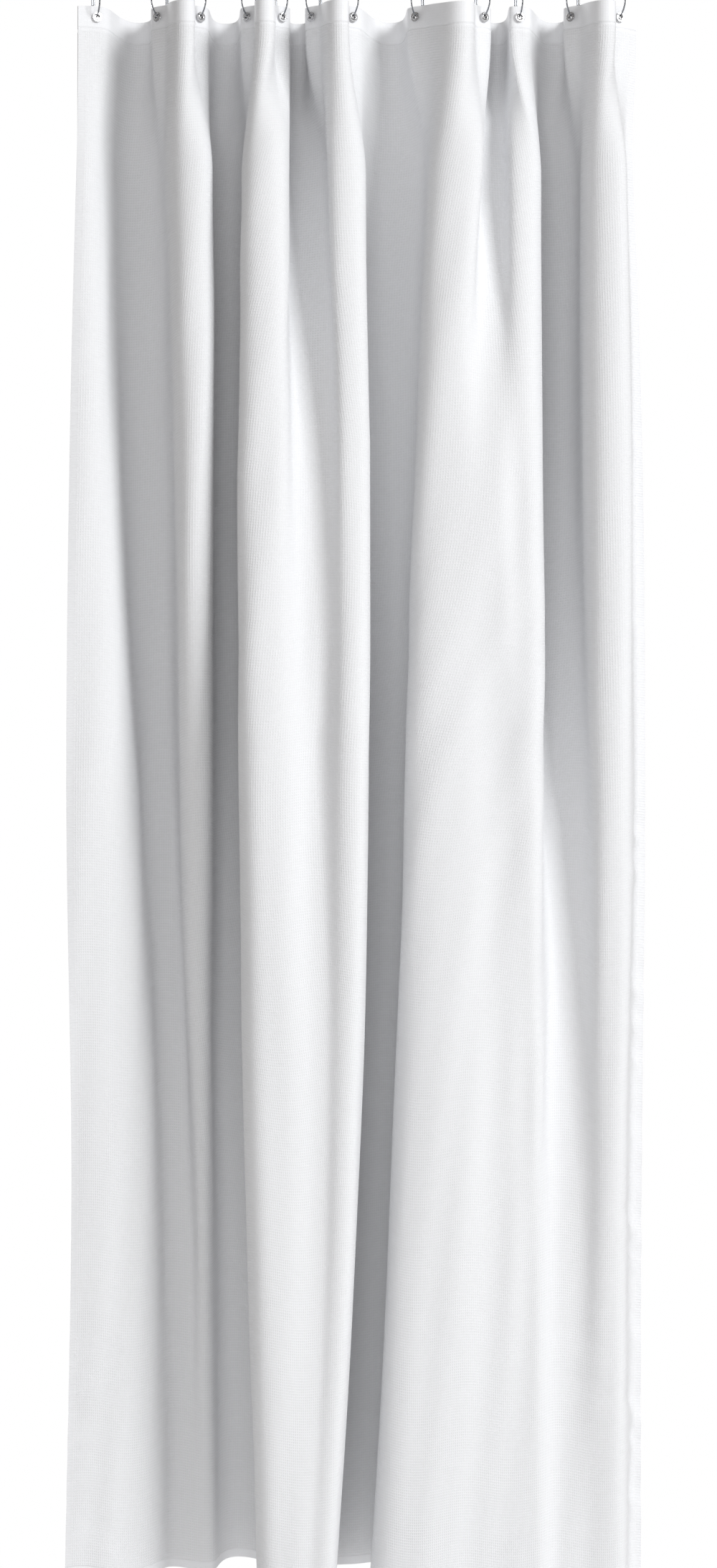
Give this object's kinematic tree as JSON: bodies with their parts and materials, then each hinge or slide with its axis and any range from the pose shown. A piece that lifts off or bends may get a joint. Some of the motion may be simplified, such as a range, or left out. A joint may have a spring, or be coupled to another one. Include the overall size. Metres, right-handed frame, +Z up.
{
  "type": "shower curtain",
  "caption": "White waffle-weave shower curtain hanging in gathered folds, with metal eyelets and wire rings that slide along a rod and swing.",
  "frame": {"origin": "on the axis of the rod that the rings hang on, halfway along the hanging curtain", "axes": "+X along the rod to the right as seen from the front, +Y to the back, +Z up; the curtain hangs down from the rod"},
  "size_m": [0.7363, 0.2379, 2.0635],
  "materials": {
    "waffle_cloth": "matte white waffle weave",
    "header": "pressed white cotton band",
    "hem": "folded white cotton hem",
    "thread": "white polyester thread",
    "eyelet_metal": "bright nickel",
    "washer_metal": "nickel",
    "ring_wire": "polished chrome"
  },
  "bodies": {
    "curtain": {"waffle_panel": "waffle_cloth", "header_tape": "header", "left_hem": "hem", "right_hem": "hem", "bottom_hem": "hem", "header_stitching": "thread", "bottom_stitching": "thread", "left_stitching": "thread", "right_stitching": "thread", "eyelet_01": "eyelet_metal", "washer_01": "washer_metal"},
    "eyelet_set_02": {"eyelet_02": "eyelet_metal", "washer_02": "washer_metal"},
    "eyelet_set_03": {"eyelet_03": "eyelet_metal", "washer_03": "washer_metal"},
    "eyelet_set_04": {"eyelet_04": "eyelet_metal", "washer_04": "washer_metal"},
    "eyelet_set_05": {"eyelet_05": "eyelet_metal", "washer_05": "washer_metal"},
    "eyelet_set_06": {"eyelet_06": "eyelet_metal", "washer_06": "washer_metal"},
    "eyelet_set_07": {"eyelet_07": "eyelet_metal", "washer_07": "washer_metal"},
    "eyelet_set_08": {"eyelet_08": "eyelet_metal", "washer_08": "washer_metal"},
    "eyelet_set_09": {"eyelet_09": "eyelet_metal", "washer_09": "washer_metal"},
    "eyelet_set_10": {"eyelet_10": "eyelet_metal", "washer_10": "washer_metal"},
    "eyelet_set_11": {"eyelet_11": "eyelet_metal", "washer_11": "washer_metal"},
    "eyelet_set_12": {"eyelet_12": "eyelet_metal", "washer_12": "washer_metal"},
    "ring_body_01": {"ring_01": "ring_wire"},
    "ring_body_02": {"ring_02": "ring_wire"},
    "ring_body_03": {"ring_03": "ring_wire"},
    "ring_body_04": {"ring_04": "ring_wire"},
    "ring_body_05": {"ring_05": "ring_wire"},
    "ring_body_06": {"ring_06": "ring_wire"},
    "ring_body_07": {"ring_07": "ring_wire"},
    "ring_body_08": {"ring_08": "ring_wire"},
    "ring_body_09": {"ring_09": "ring_wire"},
    "ring_body_10": {"ring_10": "ring_wire"},
    "ring_body_11": {"ring_11": "ring_wire"},
    "ring_body_12": {"ring_12": "ring_wire"}
  },
  "joints": [
    {"name": "draw_02", "type": "slide", "parent": "curtain", "child": "eyelet_set_02", "axis": [-1, 0, 0], "range_m": [0, 0.03555]},
    {"name": "draw_03", "type": "slide", "parent": "curtain", "child": "eyelet_set_03", "axis": [-1, 0, 0], "range_m": [0, 0.0594]},
    {"name": "draw_04", "type": "slide", "parent": "curtain", "child": "eyelet_set_04", "axis": [-1, 0, 0], "range_m": [0, 0.0873]},
    {"name": "draw_05", "type": "slide", "parent": "curtain", "child": "eyelet_set_05", "axis": [-1, 0, 0], "range_m": [0, 0.10665]},
    {"name": "draw_06", "type": "slide", "parent": "curtain", "child": "eyelet_set_06", "axis": [-1, 0, 0], "range_m": [0, 0.1242]},
    {"name": "draw_07", "type": "slide", "parent": "curtain", "child": "eyelet_set_07", "axis": [-1, 0, 0], "range_m": [0, 0.14715]},
    {"name": "draw_08", "type": "slide", "parent": "curtain", "child": "eyelet_set_08", "axis": [-1, 0, 0], "range_m": [0, 0.18405]},
    {"name": "draw_09", "type": "slide", "parent": "curtain", "child": "eyelet_set_09", "axis": [-1, 0, 0], "range_m": [0, 0.22275]},
    {"name": "draw_10", "type": "slide", "parent": "curtain", "child": "eyelet_set_10", "axis": [-1, 0, 0], "range_m": [0, 0.24345]},
    {"name": "draw_11", "type": "slide", "parent": "curtain", "child": "eyelet_set_11", "axis": [-1, 0, 0], "range_m": [0, 0.2736]},
    {"name": "draw_12", "type": "slide", "parent": "curtain", "child": "eyelet_set_12", "axis": [-1, 0, 0], "range_m": [0, 0.30105], "deforming": ["waffle_panel", "header_tape", "left_hem", "right_hem", "bottom_hem", "header_stitching", "bottom_stitching", "left_stitching", "right_stitching"]},
    {"name": "swing_01", "type": "hinge", "parent": "curtain", "child": "ring_body_01", "pos_m": [-0.33563, 0.00142, -0.0345], "axis": [0.9563, 0.2924, 0], "range_deg": [-25, 25]},
    {"name": "swing_02", "type": "hinge", "parent": "eyelet_set_02", "child": "ring_body_02", "pos_m": [-0.25505, 0.00122, -0.0345], "axis": [-0.891, 0.454, 0], "range_deg": [-25, 25]},
    {"name": "swing_03", "type": "hinge", "parent": "eyelet_set_03", "child": "ring_body_03", "pos_m": [-0.20395, 0.00122, -0.0345], "axis": [0.891, 0.454, 0], "range_deg": [-25, 25]},
    {"name": "swing_04", "type": "hinge", "parent": "eyelet_set_04", "child": "ring_body_04", "pos_m": [-0.14005, 0.00122, -0.0345], "axis": [-0.891, 0.454, 0], "range_deg": [-25, 25]},
    {"name": "swing_05", "type": "hinge", "parent": "eyelet_set_05", "child": "ring_body_05", "pos_m": [-0.09886, 0.00129, -0.0345], "axis": [0.9135, 0.4067, 0], "range_deg": [-25, 25]},
    {"name": "swing_06", "type": "hinge", "parent": "eyelet_set_06", "child": "ring_body_06", "pos_m": [-0.05805, 0.00122, -0.0345], "axis": [-0.891, 0.454, 0], "range_deg": [-25, 25]},
    {"name": "swing_07", "type": "hinge", "parent": "eyelet_set_07", "child": "ring_body_07", "pos_m": [-0.00889, 0.00127, -0.0345], "axis": [0.9063, 0.4226, 0], "range_deg": [-25, 25]},
    {"name": "swing_08", "type": "hinge", "parent": "eyelet_set_08", "child": "ring_body_08", "pos_m": [0.07483, 0.00131, -0.0345], "axis": [-0.9205, 0.3907, 0], "range_deg": [-25, 25]},
    {"name": "swing_09", "type": "hinge", "parent": "eyelet_set_09", "child": "ring_body_09", "pos_m": [0.15914, 0.00129, -0.0345], "axis": [0.9135, 0.4067, 0], "range_deg": [-25, 25]},
    {"name": "swing_10", "type": "hinge", "parent": "eyelet_set_10", "child": "ring_body_10", "pos_m": [0.20563, 0.0015, -0.0345], "axis": [0.9848, 0.1736, 0], "range_deg": [-25, 25]},
    {"name": "swing_11", "type": "hinge", "parent": "eyelet_set_11", "child": "ring_body_11", "pos_m": [0.27392, 0.00125, -0.0345], "axis": [-0.8988, 0.4384, 0], "range_deg": [-25, 25]},
    {"name": "swing_12", "type": "hinge", "parent": "eyelet_set_12", "child": "ring_body_12", "pos_m": [0.33331, 0.00139, -0.0345], "axis": [0.9455, 0.3256, 0], "range_deg": [-25, 25]}
  ],
  "couplings": [
    {"joint": "draw_02", "follows": "draw_12", "ratio": 0.11809},
    {"joint": "draw_03", "follows": "draw_12", "ratio": 0.19731},
    {"joint": "draw_04", "follows": "draw_12", "ratio": 0.28998},
    {"joint": "draw_05", "follows": "draw_12", "ratio": 0.35426},
    {"joint": "draw_06", "follows": "draw_12", "ratio": 0.41256},
    {"joint": "draw_07", "follows": "draw_12", "ratio": 0.48879},
    {"joint": "draw_08", "follows": "draw_12", "ratio": 0.61136},
    {"joint": "draw_09", "follows": "draw_12", "ratio": 0.73991},
    {"joint": "draw_10", "follows": "draw_12", "ratio": 0.80867},
    {"joint": "draw_11", "follows": "draw_12", "ratio": 0.90882}
  ]
}
